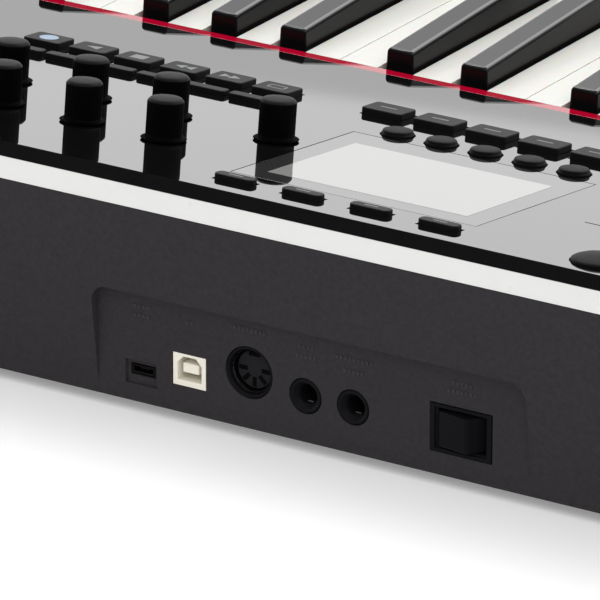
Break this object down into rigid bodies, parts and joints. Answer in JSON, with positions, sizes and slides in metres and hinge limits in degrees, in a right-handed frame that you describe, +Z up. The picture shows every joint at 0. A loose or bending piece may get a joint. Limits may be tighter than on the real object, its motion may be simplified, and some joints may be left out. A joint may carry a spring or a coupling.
{
  "type": "keyboard synthesizer",
  "caption": "Slim keyboard synthesizer with piano-style keys, gloss sloping control panel, display, knobs, pads, wheels and rear sockets.",
  "frame": {"origin": "centre of the footprint, on the surface that the rubber feet stand on", "axes": "+X to the player's right along the keys, +Y to the rear, +Z up"},
  "size_m": [0.8, 0.32, 0.0935],
  "materials": {
    "case_charcoal": "fine textured, matte",
    "white_plastic": "semi-gloss",
    "gloss_black": "mirror gloss",
    "red_gloss": "high gloss",
    "display_glass": "polished",
    "display_module": "satin",
    "metal": "satin",
    "board": "solder mask",
    "black_plastic": "satin",
    "felt": "felt",
    "silicone": "matte",
    "cream_plastic": "satin",
    "rubber": "matte",
    "key_white": "gloss",
    "key_black": "gloss",
    "knob_rubber": "soft touch",
    "button_rubber": "soft touch",
    "pad_silicone": "matte silicone"
  },
  "bodies": {
    "root": {"bottom_case": "case_charcoal", "trim_band": "white_plastic", "left_block": "white_plastic", "right_block": "white_plastic", "key_slip": "white_plastic", "top_panel": "gloss_black", "red_strip": "red_gloss", "display_glass": "display_glass", "display_module": "display_module", "encoder_set": "metal", "control_board": "board", "tact_switches": "black_plastic", "fader_track": "metal", "key_chassis": "black_plastic", "pivot_rod": "metal", "key_felt": "felt", "contact_board": "board", "contact_strip": "silicone", "case_screws": "metal", "wheel_bracket": "black_plastic", "usb_socket": "cream_plastic", "power_socket": "metal", "midi_socket": "black_plastic", "pedal_jacks": "black_plastic", "switch_housing": "black_plastic", "main_board": "board", "rubber_feet": "rubber"},
    "c_keys": {"c_keys": "key_white"},
    "d_keys": {"d_keys": "key_white"},
    "e_keys": {"e_keys": "key_white"},
    "f_keys": {"f_keys": "key_white"},
    "g_keys": {"g_keys": "key_white"},
    "a_keys": {"a_keys": "key_white"},
    "b_keys": {"b_keys": "key_white"},
    "top_c_key": {"top_c_key": "key_white"},
    "c_sharp_keys": {"c_sharp_keys": "key_black"},
    "d_sharp_keys": {"d_sharp_keys": "key_black"},
    "f_sharp_keys": {"f_sharp_keys": "key_black"},
    "g_sharp_keys": {"g_sharp_keys": "key_black"},
    "a_sharp_keys": {"a_sharp_keys": "key_black"},
    "data_knob": {"data_knob": "knob_rubber"},
    "knob_a": {"knob_a": "knob_rubber"},
    "knob_b": {"knob_b": "knob_rubber"},
    "knob_c": {"knob_c": "knob_rubber"},
    "knob_d": {"knob_d": "knob_rubber"},
    "knob_e": {"knob_e": "knob_rubber"},
    "knob_f": {"knob_f": "knob_rubber"},
    "knob_g": {"knob_g": "knob_rubber"},
    "knob_h": {"knob_h": "knob_rubber"},
    "pitch_wheel": {"pitch_wheel": "knob_rubber"},
    "mod_wheel": {"mod_wheel": "knob_rubber"},
    "power_rocker": {"power_rocker": "black_plastic"},
    "volume_fader": {"volume_fader": "knob_rubber"},
    "dome_button": {"dome_button": "knob_rubber"},
    "transport_buttons": {"transport_buttons": "button_rubber"},
    "track_buttons": {"track_buttons": "button_rubber"},
    "menu_buttons": {"menu_buttons": "button_rubber"},
    "view_buttons": {"view_buttons": "button_rubber"},
    "round_buttons": {"round_buttons": "button_rubber"},
    "drum_pads": {"drum_pads": "pad_silicone"}
  },
  "joints": [
    {"name": "c_keys_press", "type": "hinge", "parent": "root", "child": "c_keys", "pos_m": [0, 0.0319, 0.051], "axis": [1, 0, 0], "range_deg": [0, 3], "stiffness_Nm_per_rad": 6, "springref_deg": -5.16},
    {"name": "d_keys_press", "type": "hinge", "parent": "root", "child": "d_keys", "pos_m": [0, 0.0319, 0.051], "axis": [1, 0, 0], "range_deg": [0, 3], "stiffness_Nm_per_rad": 6, "springref_deg": -5.16},
    {"name": "e_keys_press", "type": "hinge", "parent": "root", "child": "e_keys", "pos_m": [0, 0.0319, 0.051], "axis": [1, 0, 0], "range_deg": [0, 3], "stiffness_Nm_per_rad": 6, "springref_deg": -5.16},
    {"name": "f_keys_press", "type": "hinge", "parent": "root", "child": "f_keys", "pos_m": [0, 0.0319, 0.051], "axis": [1, 0, 0], "range_deg": [0, 3], "stiffness_Nm_per_rad": 6, "springref_deg": -5.16},
    {"name": "g_keys_press", "type": "hinge", "parent": "root", "child": "g_keys", "pos_m": [0, 0.0319, 0.051], "axis": [1, 0, 0], "range_deg": [0, 3], "stiffness_Nm_per_rad": 6, "springref_deg": -5.16},
    {"name": "a_keys_press", "type": "hinge", "parent": "root", "child": "a_keys", "pos_m": [0, 0.0319, 0.051], "axis": [1, 0, 0], "range_deg": [0, 3], "stiffness_Nm_per_rad": 6, "springref_deg": -5.16},
    {"name": "b_keys_press", "type": "hinge", "parent": "root", "child": "b_keys", "pos_m": [0, 0.0319, 0.051], "axis": [1, 0, 0], "range_deg": [0, 3], "stiffness_Nm_per_rad": 6, "springref_deg": -5.16},
    {"name": "top_c_key_press", "type": "hinge", "parent": "root", "child": "top_c_key", "pos_m": [0, 0.0319, 0.051], "axis": [1, 0, 0], "range_deg": [0, 3], "stiffness_Nm_per_rad": 1.5, "springref_deg": -5.16},
    {"name": "c_sharp_keys_press", "type": "hinge", "parent": "root", "child": "c_sharp_keys", "pos_m": [0, 0.0319, 0.051], "axis": [1, 0, 0], "range_deg": [0, 3], "stiffness_Nm_per_rad": 6, "springref_deg": -5.16},
    {"name": "d_sharp_keys_press", "type": "hinge", "parent": "root", "child": "d_sharp_keys", "pos_m": [0, 0.0319, 0.051], "axis": [1, 0, 0], "range_deg": [0, 3], "stiffness_Nm_per_rad": 6, "springref_deg": -5.16},
    {"name": "f_sharp_keys_press", "type": "hinge", "parent": "root", "child": "f_sharp_keys", "pos_m": [0, 0.0319, 0.051], "axis": [1, 0, 0], "range_deg": [0, 3], "stiffness_Nm_per_rad": 6, "springref_deg": -5.16},
    {"name": "g_sharp_keys_press", "type": "hinge", "parent": "root", "child": "g_sharp_keys", "pos_m": [0, 0.0319, 0.051], "axis": [1, 0, 0], "range_deg": [0, 3], "stiffness_Nm_per_rad": 6, "springref_deg": -5.16},
    {"name": "a_sharp_keys_press", "type": "hinge", "parent": "root", "child": "a_sharp_keys", "pos_m": [0, 0.0319, 0.051], "axis": [1, 0, 0], "range_deg": [0, 3], "stiffness_Nm_per_rad": 6, "springref_deg": -5.16},
    {"name": "data_knob_turn", "type": "hinge", "parent": "root", "child": "data_knob", "pos_m": [0.0555, 0.09463, 0.07612], "axis": [0, -0.1267, 0.9919], "continuous": true},
    {"name": "knob_a_turn", "type": "hinge", "parent": "root", "child": "knob_a", "pos_m": [0.0953, 0.09463, 0.07612], "axis": [0, -0.1267, 0.9919], "continuous": true},
    {"name": "knob_b_turn", "type": "hinge", "parent": "root", "child": "knob_b", "pos_m": [0.1257, 0.09463, 0.07612], "axis": [0, -0.1267, 0.9919], "continuous": true},
    {"name": "knob_c_turn", "type": "hinge", "parent": "root", "child": "knob_c", "pos_m": [0.1561, 0.09463, 0.07612], "axis": [0, -0.1267, 0.9919], "continuous": true},
    {"name": "knob_d_turn", "type": "hinge", "parent": "root", "child": "knob_d", "pos_m": [0.1865, 0.09463, 0.07612], "axis": [0, -0.1267, 0.9919], "continuous": true},
    {"name": "knob_e_turn", "type": "hinge", "parent": "root", "child": "knob_e", "pos_m": [0.0804, 0.12062, 0.07944], "axis": [0, -0.1267, 0.9919], "continuous": true},
    {"name": "knob_f_turn", "type": "hinge", "parent": "root", "child": "knob_f", "pos_m": [0.1108, 0.12062, 0.07944], "axis": [0, -0.1267, 0.9919], "continuous": true},
    {"name": "knob_g_turn", "type": "hinge", "parent": "root", "child": "knob_g", "pos_m": [0.1412, 0.12062, 0.07944], "axis": [0, -0.1267, 0.9919], "continuous": true},
    {"name": "knob_h_turn", "type": "hinge", "parent": "root", "child": "knob_h", "pos_m": [0.1716, 0.12062, 0.07944], "axis": [0, -0.1267, 0.9919], "continuous": true},
    {"name": "transport_buttons_press", "type": "slide", "parent": "root", "child": "transport_buttons", "axis": [0, -0.1267, 0.9919], "range_m": [-0.001, 0], "stiffness_N_per_m": 1200, "springref_m": 0.0006},
    {"name": "track_buttons_press", "type": "slide", "parent": "root", "child": "track_buttons", "axis": [0, -0.1267, 0.9919], "range_m": [-0.001, 0], "stiffness_N_per_m": 1200, "springref_m": 0.0006},
    {"name": "menu_buttons_press", "type": "slide", "parent": "root", "child": "menu_buttons", "axis": [0, -0.1267, 0.9919], "range_m": [-0.001, 0], "stiffness_N_per_m": 1200, "springref_m": 0.0006},
    {"name": "view_buttons_press", "type": "slide", "parent": "root", "child": "view_buttons", "axis": [0, -0.1267, 0.9919], "range_m": [-0.001, 0], "stiffness_N_per_m": 1200, "springref_m": 0.0006},
    {"name": "round_buttons_press", "type": "slide", "parent": "root", "child": "round_buttons", "axis": [0, -0.1267, 0.9919], "range_m": [-0.001, 0], "stiffness_N_per_m": 1200, "springref_m": 0.0006},
    {"name": "dome_button_press", "type": "slide", "parent": "root", "child": "dome_button", "axis": [0, -0.1267, 0.9919], "range_m": [-0.001, 0], "stiffness_N_per_m": 1200, "springref_m": 0.0006},
    {"name": "drum_pads_press", "type": "slide", "parent": "root", "child": "drum_pads", "axis": [0, -0.1267, 0.9919], "range_m": [-0.0015, 0], "stiffness_N_per_m": 4000, "springref_m": 0.0006},
    {"name": "volume_slide", "type": "slide", "parent": "root", "child": "volume_fader", "axis": [0, 0.9919, 0.1267], "range_m": [0, 0.04]},
    {"name": "pitch_bend", "type": "hinge", "parent": "root", "child": "pitch_wheel", "pos_m": [0, -0.062, 0.0475], "axis": [1, 0, 0], "range_deg": [-45, 45], "stiffness_Nm_per_rad": 0.05},
    {"name": "mod_turn", "type": "hinge", "parent": "root", "child": "mod_wheel", "pos_m": [0, -0.062, 0.0475], "axis": [1, 0, 0], "range_deg": [-45, 45]},
    {"name": "power_rock", "type": "hinge", "parent": "root", "child": "power_rocker", "pos_m": [-0.0474, 0.15157, 0.0197], "axis": [0, 0, 1], "range_deg": [-24, 0]}
  ]
}
